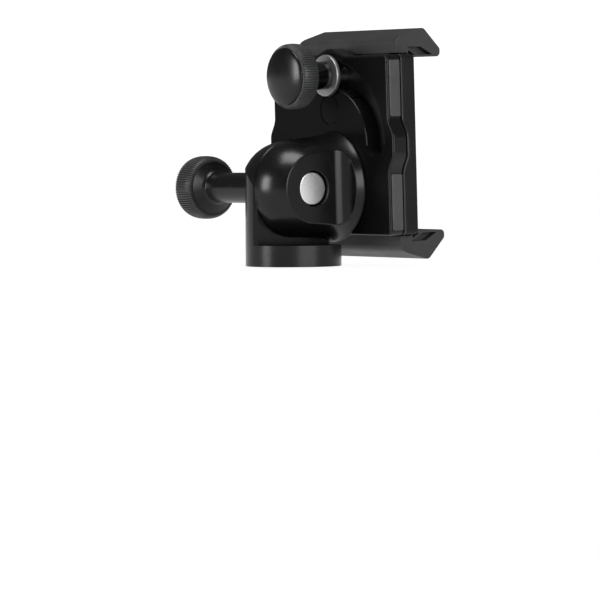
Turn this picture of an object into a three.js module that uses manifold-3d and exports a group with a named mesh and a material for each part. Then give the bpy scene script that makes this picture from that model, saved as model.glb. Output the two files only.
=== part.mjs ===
import * as THREE from "three";
import { mergeVertices } from "three/addons/utils/BufferGeometryUtils.js";
import Module from "manifold-3d";

const wasm = await Module();
wasm.setup();

// Driving sizes, in millimetres. +Z is up, +X is the side of the pivot bolt's head,
// +Y is the side the phone faces. The origin is the centre of the base's underside.
const GAP = 0.3;                 // clearance between pieces that rest on each other
const RUN = 0.08;                // radial running clearance of a shaft in its hole
const LEAN_DEG = 1.5;            // how far the clamp leans back in the stored pose

const BASE_R = 15.5;             // radius of the round base and of the half-round upright
const BASE_T = 6.8;              // thickness of the round base
const EDGE = 1.0;                // chamfer round the upright's inner face
const TOP_POWER = 2.7;           // roundness of the upright's top: 2 would be a ball, more is squarer
const THREAD_R = 3.1;            // bore of the tripod thread insert
const INSERT_R = 5.2;

const BOLT_R = 3;                // shank of the tilt bolt
const BOLT_HEAD_R = 5.3;
const BOLT_HEAD_T = 4;
const HEAD_CLEAR = 0.45;         // radial clearance round the bolt's head
const FRICTION_R = 11;           // fibre washer between the hub and the upright
const FRICTION_SEAT = 0.8;       // depth of its recess in the hub
const HUB_R = BASE_R + 0.4;      // radius of the hub's domed end
const HUB_FLAT_X = 11.3;         // the milled face round the bolt head
const HEAD_SINK = 1.1;           // depth of the bolt head below that face
const PLATE_Y = BASE_R + GAP;    // back face of the clamp's back plate, just clear of the upright
const FLANGE_R = BASE_R + 2.55;
const TILT_Z = BASE_T + FLANGE_R + 0.15; // height of the tilt axis, so that the flange clears the base
const SCOOP_R = 4.5;             // concave run-out of the milled face
const SCOOP_Y = 8;

const STEM_R = 5;                // long stem of the tilt knob
const STEM_END = 41.5;           // distance of the stem's outer end from the hub axis
const TILT_KNOB_R = 10.5;
const TILT_KNOB_T = 8;
const KNOB_TEETH = 80;
const TOOTH_H = 0.45;
const RIM_BEVEL = 0.9;           // bevel of a knurled rim's two ends

const CLAMP_H = 57.9;            // height of the clamp's back plate
const CLAMP_W = CLAMP_H + 2.1;   // its width: nearly square, so that it also fits turned on its side
const CLAMP_Z = 13.3;            // height of the clamp's centre above the tilt axis
const PLATE_T = 5.2;             // thickness of the back plate
const PLATE_EDGE = 0.7;          // bevel round the back plate's back face
const CORNER_R = 1.6;            // corners of the plates and of the clamp body
const TURN_GAP = 0.65;           // gap between the back plate and the turning clamp
const RIM_T = 0.85;              // thickness of the backing plate's thin rim
const BODY_T = 4.8;              // thickness of the clamp body in front of it
const BULGE = 2.5;               // how far both plates swell out half way up their sides
const BULGE_FLAT = 2.5;
const BULGE_END = 9;
const SLOT_R = CLAMP_H / 2 - 6.2; // middle radius of the quarter-circle slot
const SLOT_W = 8;
const SLOT_BEVEL = 1.4;
const HUMP_R = 8.7;              // rounded hump of the top edge round the lock knob
const HUMP_HALF_W = 9;
const PANEL_T = 0.5;             // side panels, standing proud of the back plate
const PLUG_R = 4.8;              // round plug in the back plate

const PIVOT_R = 5;               // bush the clamp turns on
const PIVOT_FLANGE_R = 8.2;
const PIVOT_FLANGE_T = 1.4;
const PIVOT_SCREW_R = 1.6;
const PIVOT_HEAD_R = 2.6;
const RING_IN_R = 9;             // friction ring between the back plate and the clamp
const RING_OUT_R = 17.5;
const HUB_SCREW_R = 1.5;
const HUB_SCREW_HEAD_R = 2.8;

const LOCK_KNOB_R = 10.6;
const LOCK_KNOB_T = 6.4;
const LOCK_SHANK_R = 4.6;
const LOCK_SHANK_L = 9.4;
const LOCK_WASHER_R = 6.75;
const LOCK_WASHER_T = 1.6;
const STUD_R = 2.9;

const GRIP = CLAMP_H - 1.9;      // smallest phone the jaws hold: 56 mm
const JAW_L = 51;                // length of each jaw
const JAW_REACH = 14.6;          // how far a jaw stands in front of the clamp body
const JAW_TRAVEL = 17.5;
const PINION_R = 6;              // pitch radius of the pinion between the two racks
const PINION_TEETH = 16;
const BOSS_R = 2.6;              // boss the pinion turns on
const PAD_W = CLAMP_W - 19;      // seat of the rubber pad on the clamp's face
const PAD_H = CLAMP_H - 8.9;
const SLIDE_T = 1.6;
const SLIDE_W = JAW_L / 2 - 12.5;

const HALF_W = CLAMP_W / 2;
const HALF_H = CLAMP_H / 2;
const RIM_Y = PLATE_Y + PLATE_T + TURN_GAP;
const BODY_Y = RIM_Y + RIM_T;
const FACE_Y = BODY_Y + BODY_T;
const CHANNEL_Y = FACE_Y - 1.3;  // bottom of the sliders' channel
const SLIDE_Y = BODY_Y + 1.6;    // back face of the sliders
const PITCH = Math.PI * 2 * PINION_R / PINION_TEETH;

const group = new THREE.Group();
const V2 = (x, y) => new THREE.Vector2(x, y);

// ---- making and joining closed solids ----
function solid(geometry) {
  const bare = geometry.clone();
  bare.deleteAttribute("normal");
  bare.deleteAttribute("uv");
  const g = mergeVertices(bare, 1e-4);
  const tri = Uint32Array.from(g.index.array);
  const make = () => new wasm.Manifold(new wasm.Mesh({
    numProp: 3,
    vertProperties: Float32Array.from(g.attributes.position.array),
    triVerts: tri,
  }));
  let m = make();
  if (m.volume() < 0) {
    for (let i = 0; i < tri.length; i += 3) {
      [tri[i], tri[i + 1]] = [tri[i + 1], tri[i]];
    }
    m = make();
  }
  return m;
}

function add(name, body, material) {
  const mesh = body.getMesh();
  const g = new THREE.BufferGeometry();
  g.setAttribute("position", new THREE.BufferAttribute(Float32Array.from(mesh.vertProperties), 3));
  g.setIndex(new THREE.BufferAttribute(Uint32Array.from(mesh.triVerts), 1));
  const flat = g.toNonIndexed();
  flat.computeVertexNormals();
  const node = new THREE.Mesh(flat, new THREE.MeshStandardMaterial(material));
  node.name = name;
  group.add(node);
}

// An outline in X and Z, given thickness from y0 to y1.
function slabY(shape, y0, y1, steps = 12) {
  const g = new THREE.ExtrudeGeometry(shape, { depth: y1 - y0, bevelEnabled: false, curveSegments: steps });
  g.applyMatrix4(new THREE.Matrix4().set(1, 0, 0, 0, 0, 0, -1, y1, 0, 1, 0, 0, 0, 0, 0, 1));
  return solid(g);
}

// An outline in Y and Z, given thickness from x0 to x1.
function slabX(shape, x0, x1, steps = 12) {
  const g = new THREE.ExtrudeGeometry(shape, { depth: x1 - x0, bevelEnabled: false, curveSegments: steps });
  g.applyMatrix4(new THREE.Matrix4().set(0, 0, 1, x0, 1, 0, 0, 0, 0, 1, 0, 0, 0, 0, 0, 1));
  return solid(g);
}

// A profile of [distance along the axis, radius] pairs turned about an axis.
function turn(axis, profile, segments = 48) {
  const points = profile.map(([along, r]) => V2(r, along));
  if (profile[0][1] > 0) {
    points.push(points[0].clone());
  }
  const g = new THREE.LatheGeometry(points, segments);
  if (axis === "x") {
    g.rotateZ(-Math.PI / 2);
  }
  if (axis === "z") {
    g.rotateX(Math.PI / 2);
  }
  return solid(g);
}

function rod(axis, from, to, r, segments = 48) {
  return turn(axis, [[from, 0], [from, r], [to, r], [to, 0]], segments);
}

function ring(axis, from, to, rIn, rOut, segments = 48) {
  return turn(axis, [[from, rIn], [from, rOut], [to, rOut], [to, rIn]], segments);
}

function block(x0, x1, y0, y1, z0, z1) {
  const g = new THREE.BoxGeometry(x1 - x0, y1 - y0, z1 - z0);
  g.translate((x0 + x1) / 2, (y0 + y1) / 2, (z0 + z1) / 2);
  return solid(g);
}

function polygon(points) {
  return new THREE.Shape(points.map(([x, y]) => V2(x, y)));
}

function roundedRect(w, h, r, cx = 0, cy = 0) {
  const s = new THREE.Shape();
  s.moveTo(cx - w / 2 + r, cy - h / 2);
  s.lineTo(cx + w / 2 - r, cy - h / 2);
  s.absarc(cx + w / 2 - r, cy - h / 2 + r, r, -Math.PI / 2, 0);
  s.absarc(cx + w / 2 - r, cy + h / 2 - r, r, 0, Math.PI / 2);
  s.absarc(cx - w / 2 + r, cy + h / 2 - r, r, Math.PI / 2, Math.PI);
  s.absarc(cx - w / 2 + r, cy - h / 2 + r, r, Math.PI, Math.PI * 1.5);
  return s;
}

// The clamp is drawn upright about the tilt axis, then leaned back and raised into place.
function placed(body) {
  return body.rotate([LEAN_DEG, 0, 0]).translate([0, 0, TILT_Z]);
}

const black = { color: 0x2a2b2f, metalness: 0.6, roughness: 0.35 };
const darkBack = { color: 0x1c1c1b, metalness: 0.2, roughness: 0.55 };
const plastic = { color: 0x1b1b1c, metalness: 0.0, roughness: 0.6 };
const rubber = { color: 0x333333, metalness: 0.0, roughness: 0.9 };
const steel = { color: 0xb8b8b6, metalness: 0.9, roughness: 0.3 };
const brass = { color: 0xb08d4a, metalness: 0.9, roughness: 0.35 };
const panel = { color: 0x5a5b60, metalness: 0.4, roughness: 0.4 };

// ---- base bracket: round base with a half-round upright, one turned and milled piece ----
function baseBracket() {
  const c = 0.5;
  const column = turn("z", [[0, 0], [0, BASE_R - c], [c, BASE_R], [TILT_Z + BASE_R, BASE_R],
    [TILT_Z + BASE_R, 0]], 64);
  const top = [[-BASE_R, 0]];
  const steps = 18;
  for (let i = 1; i <= steps; i += 1) {
    const a = i / steps * Math.PI / 2;
    const along = Math.cos(a) ** (2 / TOP_POWER);
    top.push([-BASE_R * along, BASE_R * Math.sin(a) ** (2 / TOP_POWER)]);
  }
  top.push([BASE_R + 1, BASE_R], [BASE_R + 1, 0]);
  const crown = turn("x", top, 96).translate([0, 0, TILT_Z])
    .add(block(-BASE_R - 1, BASE_R + 1, -BASE_R - 1, BASE_R + 1, -1, TILT_Z));
  let body = column.intersect(crown);
  body = body.subtract(block(0, BASE_R + 1, -BASE_R - 1, BASE_R + 1, BASE_T, TILT_Z + BASE_R + 1));
  // chamfer round the upright's inner face, following its sides and rounded top
  const outer = new THREE.Shape();
  outer.moveTo(-BASE_R - 2, BASE_T);
  outer.lineTo(BASE_R + 2, BASE_T);
  outer.lineTo(BASE_R + 2, TILT_Z + BASE_R + 2);
  outer.lineTo(-BASE_R - 2, TILT_Z + BASE_R + 2);
  const layers = 4;
  for (let i = 0; i < layers; i += 1) {
    const inset = EDGE * (layers - i) / layers;
    const keep = new THREE.Path();
    keep.moveTo(-BASE_R + inset, BASE_T - 1);
    keep.lineTo(-BASE_R + inset, TILT_Z);
    keep.absarc(0, TILT_Z, BASE_R - inset, Math.PI, 0, true);
    keep.lineTo(BASE_R - inset, BASE_T - 1);
    const cut = slabX(outer, -EDGE * (i + 1) / layers, -EDGE * i / layers + (i === 0 ? 1 : 0));
    const keepShape = new THREE.Shape(keep.getPoints(24));
    body = body.subtract(cut.subtract(slabX(keepShape, -EDGE * 2, 2)));
  }
  body = body.subtract(rod("x", -BASE_R - 1, 1, BOLT_R + RUN, 32).translate([0, 0, TILT_Z]));
  body = body.subtract(rod("z", -1, BASE_T - 1.2, INSERT_R + GAP / 2, 32));
  return body;
}
add("base_bracket", baseBracket(), black);

// ---- steel insert with the tripod thread, pressed into the base from below ----
const insertTop = BASE_T - 1.2 - GAP;
add("tripod_thread_insert",
  turn("z", [[0.2, THREAD_R + 0.5], [0.2, INSERT_R - 0.3], [0.5, INSERT_R], [insertTop, INSERT_R],
    [insertTop, THREAD_R], [0.7, THREAD_R]], 32), steel);

// ---- tilt bolt: head sunk in the hub, shank through hub, upright and knob stem ----
function tiltBolt() {
  const face = HUB_FLAT_X - HEAD_SINK;
  return turn("x", [[-STEM_END + 14, 0], [-STEM_END + 14, BOLT_R - 0.5], [-STEM_END + 14.5, BOLT_R],
    [face - BOLT_HEAD_T, BOLT_R], [face - BOLT_HEAD_T, BOLT_HEAD_R], [face - 0.3, BOLT_HEAD_R],
    [face, BOLT_HEAD_R - 0.3], [face, 0]], 48).translate([0, 0, TILT_Z]);
}
add("tilt_bolt", tiltBolt(), steel);

// ---- tilt knob: thrust washer, stem with cone, knurled rim and pressed-in cap ----
const tiltWasherX = -BASE_R - GAP;
const tiltWasherT = 0.8;
add("tilt_thrust_washer",
  ring("x", tiltWasherX - tiltWasherT, tiltWasherX, BOLT_R + RUN, STEM_R - 0.2, 32)
    .translate([0, 0, TILT_Z]), steel);

const tiltRimX = -STEM_END - 2.4;
const stemTop = tiltWasherX - tiltWasherT - 0.15;
const hubInKnobR = 6.2;
function tiltKnobStem() {
  const inner = -STEM_END + 13;
  const profile = [[inner, 0], [inner, BOLT_R + RUN], [stemTop, BOLT_R + RUN], [stemTop, STEM_R - 0.3],
    [stemTop - 0.3, STEM_R], [-STEM_END, STEM_R], [-STEM_END - 1.7, TILT_KNOB_R - 2],
    [tiltRimX + 0.2, TILT_KNOB_R - 1.9], [tiltRimX + 0.2, hubInKnobR],
    [tiltRimX - TILT_KNOB_T + 3, hubInKnobR], [tiltRimX - TILT_KNOB_T + 3, 0]];
  return turn("x", profile, 48).translate([0, 0, TILT_Z]);
}
add("tilt_knob_stem", tiltKnobStem(), black);

// A knurled ring about Y, from y0 to y1, with bevelled ends and a plain bore.
function knurledRing(radius, y0, y1, bore) {
  const points = [];
  const count = KNOB_TEETH * 2;
  const bevel = RIM_BEVEL;
  for (let i = 0; i < count; i += 1) {
    const a = i / count * Math.PI * 2;
    const r = radius - (i % 2 ? TOOTH_H : 0) - bevel * 0.6;
    points.push(V2(r * Math.cos(a), r * Math.sin(a)));
  }
  const g = new THREE.ExtrudeGeometry(new THREE.Shape(points), {
    depth: y1 - y0 - bevel * 2,
    bevelEnabled: true,
    bevelThickness: bevel,
    bevelSize: bevel * 0.6,
    bevelSegments: 2,
  });
  g.applyMatrix4(new THREE.Matrix4().set(1, 0, 0, 0, 0, 0, -1, y1 - bevel, 0, 1, 0, 0, 0, 0, 0, 1));
  return solid(g).subtract(rod("y", y0 - 1, y1 + 1, bore, 40));
}

const tiltRim = knurledRing(TILT_KNOB_R, 0, TILT_KNOB_T, hubInKnobR + 0.1)
  .rotate([0, 0, 90]).translate([tiltRimX, 0, TILT_Z]);
add("tilt_knob_rim", tiltRim, black);

const tiltCapX = tiltRimX - TILT_KNOB_T;
add("tilt_knob_cap",
  turn("x", [[tiltCapX - 0.9, 0], [tiltCapX - 0.6, 4], [tiltCapX + 0.1, hubInKnobR - 0.3],
    [tiltCapX + 2.6, hubInKnobR - 0.3], [tiltCapX + 2.6, 0]], 48).translate([0, 0, TILT_Z]), black);

const hubScrews = { lower: [6, -10.5], upper: [9.3, 0] };
// ---- hub: half a domed body of revolution, milled flat on both sides, flange at the plate ----
function hub() {
  const profile = [[-HUB_R, 0]];
  const steps = 12;
  for (let i = 1; i <= steps; i += 1) {
    const a = i / steps * Math.PI / 2;
    profile.push([-HUB_R * Math.cos(a), HUB_R * Math.sin(a)]);
  }
  const end = PLATE_Y - 0.05;
  profile.push([6, HUB_R + 0.4], [11.5, HUB_R + 1.0], [13.6, HUB_R + 1.5], [end - 0.6, FLANGE_R]);
  profile.push([end, FLANGE_R], [end, 0]);
  let body = turn("y", profile, 64);
  body = body.subtract(block(-30, GAP, -30, 30, -30, 30));
  // milled face round the bolt, running out in a concave curve
  const cut = new THREE.Shape();
  cut.moveTo(HUB_FLAT_X, -30);
  cut.lineTo(30, -30);
  cut.lineTo(30, SCOOP_Y + SCOOP_R);
  cut.lineTo(HUB_FLAT_X + SCOOP_R, SCOOP_Y + SCOOP_R);
  cut.absarc(HUB_FLAT_X + SCOOP_R, SCOOP_Y, SCOOP_R, Math.PI / 2, Math.PI);
  const g = new THREE.ExtrudeGeometry(cut, { depth: 60, bevelEnabled: false, curveSegments: 10 });
  g.translate(0, 0, -30);
  body = body.subtract(solid(g));
  // chamfer round the flat that meets the upright
  const rim = turn("x", [[GAP - 1, HUB_R - 1.4], [GAP - 1, HUB_R + 3], [GAP + 0.7, HUB_R + 3],
    [GAP + 0.7, HUB_R + 0.4]], 64);
  body = body.subtract(rim.subtract(block(-5, 5, 9, 30, -30, 30)));
  // bolt hole, counterbore for its head and recess for the friction washer
  const face = HUB_FLAT_X - HEAD_SINK;
  body = body.subtract(rod("x", -1, HUB_FLAT_X + 1, BOLT_R + RUN, 40));
  body = body.subtract(rod("x", face - BOLT_HEAD_T - GAP, HUB_FLAT_X + 1, BOLT_HEAD_R + HEAD_CLEAR, 40));
  body = body.subtract(rod("x", -1, GAP + FRICTION_SEAT, FRICTION_R + 0.3, 40));
  for (const [x, z] of Object.values(hubScrews)) {
    body = body.subtract(rod("y", PLATE_Y - 8, PLATE_Y + 1, HUB_SCREW_R + 0.1, 24).translate([x, 0, z]));
  }
  return body;
}
add("tilt_hub", placed(hub()), black);
add("friction_washer",
  placed(ring("x", 0.12, GAP + FRICTION_SEAT - 0.1, BOLT_R + RUN, FRICTION_R, 40)), rubber);

// ---- clamp plates: outline with swollen sides, hump, quarter-circle slot ----
function swell(t) {
  const s = Math.min(1, Math.max(0, (Math.abs(t) - BULGE_FLAT) / (BULGE_END - BULGE_FLAT)));
  return BULGE * (1 - s * s * (3 - 2 * s));
}

function plateOutline(inset, withHump) {
  const w = HALF_W - inset;
  const h = HALF_H - inset;
  const r = CORNER_R;
  const points = [];
  const corner = (cx, cz, from) => {
    for (let i = 0; i <= 4; i += 1) {
      const a = from + i / 4 * Math.PI / 2;
      points.push([cx + r * Math.cos(a), cz + r * Math.sin(a)]);
    }
  };
  const side = (sign) => {
    const n = 14;
    for (let i = 0; i <= n; i += 1) {
      const t = sign * BULGE_END * (2 * i / n - 1);
      points.push([sign * (w + swell(t)), t]);
    }
  };
  corner(w - r, -h + r, -Math.PI / 2);
  side(1);
  corner(w - r, h - r, 0);
  if (withHump) {
    const rh = HUMP_R - inset;
    const lift = SLOT_R + rh - h;
    const half = HUMP_HALF_W;
    const n = 16;
    for (let i = 0; i <= n; i += 1) {
      const x = half * (1 - 2 * i / n);
      points.push([x, h + lift * Math.cos(x / half * Math.PI / 2) ** 2]);
    }
  }
  corner(-w + r, h - r, Math.PI / 2);
  side(-1);
  corner(-w + r, -h + r, Math.PI);
  return polygon(points.map(([x, z]) => [x, z + CLAMP_Z]));
}

// A quarter ring from 12 o'clock to 3 o'clock with round ends, about the clamp's centre.
function quarterSlot(radius, width) {
  const s = new THREE.Shape();
  const half = width / 2;
  const n = 24;
  const points = [];
  const at = (r, a) => [r * Math.sin(a), r * Math.cos(a)];
  for (let i = 0; i <= n; i += 1) {
    points.push(at(radius + half, i / n * Math.PI / 2));
  }
  for (let i = 1; i < 12; i += 1) {
    const a = i / 12 * Math.PI;
    points.push([radius + half * Math.cos(a), -half * Math.sin(a)]);
  }
  for (let i = n; i >= 0; i -= 1) {
    points.push(at(radius - half, i / n * Math.PI / 2));
  }
  for (let i = 1; i < 12; i += 1) {
    const a = i / 12 * Math.PI;
    points.push([-half * Math.sin(a), radius - half * Math.cos(a)]);
  }
  points.forEach(([x, z], i) => (i ? s.lineTo(x, z + CLAMP_Z) : s.moveTo(x, z + CLAMP_Z)));
  return s;
}

const plugZ = CLAMP_Z + SLOT_R / 2 + 0.3;
const plateFront = PLATE_Y + PLATE_T;
function backPlate() {
  let body = slabY(plateOutline(PLATE_EDGE, true), PLATE_Y, PLATE_Y + PLATE_EDGE)
    .add(slabY(plateOutline(0, true), PLATE_Y + PLATE_EDGE, plateFront));
  body = body.subtract(slabY(quarterSlot(SLOT_R, SLOT_W), PLATE_Y - 1, plateFront + 1));
  // wide bevel along the outer side of the slot
  const inner = SLOT_R + SLOT_W / 2 - 0.4;
  const cone = turn("y", [[PLATE_Y - 0.2, inner], [PLATE_Y - 0.2, inner + SLOT_BEVEL + 0.6],
    [PLATE_Y + SLOT_BEVEL + 0.2, inner]], 96).translate([0, 0, CLAMP_Z]);
  body = body.subtract(cone.intersect(block(0, 40, 0, 40, CLAMP_Z, CLAMP_Z + 40)));
  // pivot hole with a wide recess for the retaining disc, both closed from the back by the hub
  const pivotHole = rod("y", PLATE_Y + 1, plateFront + 1, PIVOT_R + RUN, 40);
  const flangeSeat = rod("y", PLATE_Y + 1, PLATE_Y + 2.9, PIVOT_FLANGE_R + GAP, 40);
  const headHole = rod("y", PLATE_Y - 1, PLATE_Y + 1.3, PIVOT_HEAD_R + GAP, 24);
  for (const hole of [pivotHole, flangeSeat, headHole]) {
    body = body.subtract(hole.translate([0, 0, CLAMP_Z]));
  }
  for (const [x, z] of Object.values(hubScrews)) {
    body = body.subtract(rod("y", PLATE_Y - 1, plateFront + 1, HUB_SCREW_R + 0.15, 24).translate([x, 0, z]));
    body = body.subtract(rod("y", plateFront - 1.9, plateFront + 1, HUB_SCREW_HEAD_R + 0.2, 24)
      .translate([x, 0, z]));
  }
  // plug seat
  body = body.subtract(rod("y", PLATE_Y - 1, PLATE_Y + 1.5, PLUG_R + 0.12, 32).translate([0, 0, plugZ]));
  return body;
}
add("back_plate", placed(backPlate()), darkBack);
add("plate_plug",
  placed(rod("y", PLATE_Y + 0.02, PLATE_Y + 1.3, PLUG_R, 32).translate([0, 0, plugZ])), darkBack);

for (const [level, [x, z]] of Object.entries(hubScrews)) {
  const screw = turn("y", [[PLATE_Y - 7.6, 0], [PLATE_Y - 7.6, HUB_SCREW_R - 0.3],
    [PLATE_Y - 7.2, HUB_SCREW_R], [plateFront - 1.6, HUB_SCREW_R], [plateFront - 1.6, HUB_SCREW_HEAD_R],
    [plateFront - 0.2, HUB_SCREW_HEAD_R], [plateFront - 0.2, 0]], 24);
  add(`hub_screw_${level}`, placed(screw.translate([x, 0, z])), steel);
}

// ---- raised side panels, two on each side of the back plate ----
const panelLow = BULGE_END + 0.2;
const panelHigh = HALF_H - 1.7;
for (const [side, sign] of [["left", -1], ["right", 1]]) {
  for (const [level, up] of [["upper", 1], ["lower", -1]]) {
    const z0 = CLAMP_Z + Math.min(up * panelLow, up * panelHigh);
    const outline = roundedRect(PLATE_T - 1.1, panelHigh - panelLow, 0.5,
      PLATE_Y + 0.85 + (PLATE_T - 1.1) / 2, z0 + (panelHigh - panelLow) / 2);
    const x0 = sign > 0 ? HALF_W + 0.02 : -HALF_W - PANEL_T - 0.02;
    add(`side_panel_${side}_${level}`, placed(slabX(outline, x0, x0 + PANEL_T, 3)), panel);
  }
}

// ---- pivot of the turning clamp: flanged bush behind, screw through its middle ----
const bushY = PLATE_Y + 1.3;
const bushEnd = RIM_Y - 0.05;
const screwHole = PIVOT_SCREW_R + 0.1;
add("turn_pivot_bush",
  placed(turn("y", [[bushY, screwHole], [bushY, PIVOT_FLANGE_R], [bushY + PIVOT_FLANGE_T, PIVOT_FLANGE_R],
    [bushY + PIVOT_FLANGE_T, PIVOT_R], [bushEnd, PIVOT_R], [bushEnd, screwHole]], 40)
    .translate([0, 0, CLAMP_Z])), steel);
add("turn_friction_ring",
  placed(ring("y", plateFront + 0.05, RIM_Y - 0.05, RING_IN_R, RING_OUT_R, 48)
    .translate([0, 0, CLAMP_Z])), rubber);

// ---- backing plate of the turning clamp: the thin rim seen from the side ----
function backingPlate() {
  let body = slabY(plateOutline(0, false), RIM_Y, BODY_Y - 0.02);
  body = body.subtract(rod("y", 0, 40, screwHole, 24).translate([0, 0, CLAMP_Z]));
  return body.subtract(rod("y", 0, 40, STUD_R + RUN, 24).translate([0, 0, CLAMP_Z + SLOT_R]));
}
add("clamp_backing_plate", placed(backingPlate()), black);

// ---- clamp body: shallow tray with two channels for the sliders, open at top and bottom ----
const slideX = PINION_R + 0.95;
function clampBody() {
  let body = slabY(roundedRect(CLAMP_W, CLAMP_H, CORNER_R, 0, CLAMP_Z), BODY_Y, FACE_Y, 4);
  const z0 = CLAMP_Z - HALF_H - 1;
  const z1 = CLAMP_Z + HALF_H + 1;
  for (const sign of [-1, 1]) {
    const x0 = sign > 0 ? slideX - 1.35 : -slideX - SLIDE_W - GAP;
    const x1 = sign > 0 ? slideX + SLIDE_W + GAP : -slideX + 1.35;
    body = body.subtract(block(x0, x1, BODY_Y - 1, CHANNEL_Y, z0, z1));
  }
  body = body.subtract(rod("y", BODY_Y - 1, CHANNEL_Y, PINION_R + 1.5, 40).translate([0, 0, CLAMP_Z]));
  // boss that carries the pinion and takes the pivot screw
  body = body.add(ring("y", BODY_Y, CHANNEL_Y + 0.2, screwHole, BOSS_R, 32).translate([0, 0, CLAMP_Z]));
  body = body.subtract(rod("y", BODY_Y - 1, FACE_Y - 0.5, screwHole, 24).translate([0, 0, CLAMP_Z]));
  // seat of the lock stud, between the two channels
  body = body.subtract(rod("y", BODY_Y - 1, FACE_Y - 1.3, STUD_R + RUN, 24)
    .translate([0, 0, CLAMP_Z + SLOT_R]));
  // shallow seat of the rubber face pad
  return body.subtract(slabY(roundedRect(PAD_W, PAD_H, 3, 0, CLAMP_Z), FACE_Y - 0.6, FACE_Y + 1, 4));
}
add("clamp_body", placed(clampBody()), plastic);
add("face_pad", placed(slabY(roundedRect(PAD_W - 2 * GAP, PAD_H - 2 * GAP, 2.7, 0, CLAMP_Z),
  FACE_Y - 0.55, FACE_Y + 0.5, 4)), rubber);

function pivotScrew() {
  return turn("y", [[PLATE_Y + 0.15, 0], [PLATE_Y + 0.15, PIVOT_HEAD_R], [PLATE_Y + 1.15, PIVOT_HEAD_R],
    [PLATE_Y + 1.15, PIVOT_SCREW_R], [FACE_Y - 0.9, PIVOT_SCREW_R], [FACE_Y - 0.9, 0]], 24)
    .translate([0, 0, CLAMP_Z]);
}

// ---- pinion and the two racked sliders that keep the jaws centred ----
const toothDepth = 1.2;
const pinionY0 = BODY_Y + 0.3;
const pinionY1 = CHANNEL_Y - 0.3;
function pinion() {
  const points = [];
  for (let i = 0; i < PINION_TEETH; i += 1) {
    const widths = [[-0.34, -0.5], [-0.14, 0.5], [0.14, 0.5], [0.34, -0.5]];
    for (const [part, level] of widths) {
      const a = (i + part) / PINION_TEETH * Math.PI * 2;
      const r = PINION_R + level * toothDepth;
      points.push([r * Math.cos(a), r * Math.sin(a) + CLAMP_Z]);
    }
  }
  return slabY(polygon(points), pinionY0, pinionY1)
    .subtract(rod("y", 0, 40, BOSS_R + RUN, 32).translate([0, 0, CLAMP_Z]));
}
add("jaw_pinion", placed(pinion()), brass);

const jawZ = GRIP / 2;           // inner face of a jaw, from the clamp's centre
const shelfZ = jawZ + 3.0;
const shelfT = 1.4;
const shelfW = JAW_L - 7;
const armTop = shelfZ + shelfT;
const slideEnd = -JAW_TRAVEL - 4; // the slider's far end, still past the pinion at full travel
function slider() {
  const points = [[slideX + SLIDE_W, slideEnd], [slideX + SLIDE_W, armTop]];
  points.push([slideX, armTop]);
  points.push([slideX, HALF_H - 3]);
  const x0 = PINION_R;
  const first = Math.floor((HALF_H - 4) / PITCH);
  const last = Math.ceil((slideEnd + 1) / PITCH);
  for (let k = first; k >= last; k -= 1) {
    const z = (k + 0.5) * PITCH;
    if (z + 0.36 * PITCH > HALF_H - 3.2 || z - 0.36 * PITCH < slideEnd + 0.2) {
      continue;
    }
    const root = x0 + toothDepth * 0.5 + 0.35;
    const tip = x0 - toothDepth * 0.5 + 0.2;
    points.push([root, z + 0.3 * PITCH], [tip, z + 0.1 * PITCH], [tip, z - 0.1 * PITCH],
      [root, z - 0.3 * PITCH]);
  }
  points.push([slideX, slideEnd]);
  return slabY(polygon(points), SLIDE_Y, SLIDE_Y + SLIDE_T);
}

// ---- jaw arm: steel angle fixed to the slider, its shelf buried in the rubber jaw ----
function jawArm() {
  const plate = block(-shelfW / 2, shelfW / 2, SLIDE_Y, SLIDE_Y + SLIDE_T, jawZ + 1.75, shelfZ + shelfT);
  const shelfEnd = FACE_Y + JAW_REACH - 5;
  const shelf = block(-shelfW / 2, shelfW / 2, SLIDE_Y + 0.2, shelfEnd, shelfZ, shelfZ + shelfT);
  return plate.add(shelf).add(slider());
}

// ---- rubber jaw: roof-shaped bar, open cells in its ends ----
function jawPad() {
  const back = SLIDE_Y - 0.6;
  const tip = FACE_Y + JAW_REACH;
  const lower = HALF_H + 0.55;
  const outline = polygon([[back, lower], [FACE_Y + 0.8, lower], [FACE_Y + 0.8, jawZ],
    [tip - 1.2, jawZ], [tip - 0.3, jawZ + 0.7], [tip, jawZ + 2.6], [FACE_Y + 8.2, jawZ + 9.1],
    [FACE_Y + 7.2, jawZ + 9.35], [back + 2.2, jawZ + 6.8], [back + 0.7, jawZ + 6], [back + 0.1, jawZ + 4.9]]);
  let body = slabX(outline, -JAW_L / 2, JAW_L / 2);
  const c = 0.12;
  body = body.subtract(block(-shelfW / 2 - c, shelfW / 2 + c, SLIDE_Y - c, SLIDE_Y + SLIDE_T + c,
    lower - 1, shelfZ + shelfT + c));
  body = body.subtract(block(-shelfW / 2 - c, shelfW / 2 + c, SLIDE_Y + 0.2, FACE_Y + JAW_REACH - 5 + c,
    shelfZ - c, shelfZ + shelfT + c));
  // two low cells in each end with a diagonal rib between them
  const depth = 2.4;
  const cellLow = jawZ + 0.7;
  const cellHigh = jawZ + 3.3;
  const cellA = polygon([[FACE_Y + 1.2, cellLow], [FACE_Y + 4.1, cellLow], [FACE_Y + 1.2, cellHigh - 1]]);
  const cellB = polygon([[FACE_Y + 5.3, cellLow], [FACE_Y + 11.3, cellLow], [FACE_Y + 6.5, cellHigh],
    [FACE_Y + 0.9, cellHigh], [FACE_Y + 0.9, cellHigh - 0.2]]);
  for (const cell of [cellA, cellB]) {
    body = body.subtract(slabX(cell, JAW_L / 2 - depth, JAW_L / 2 + 1));
    body = body.subtract(slabX(cell, -JAW_L / 2 - 1, -JAW_L / 2 + depth));
  }
  return body;
}

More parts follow.
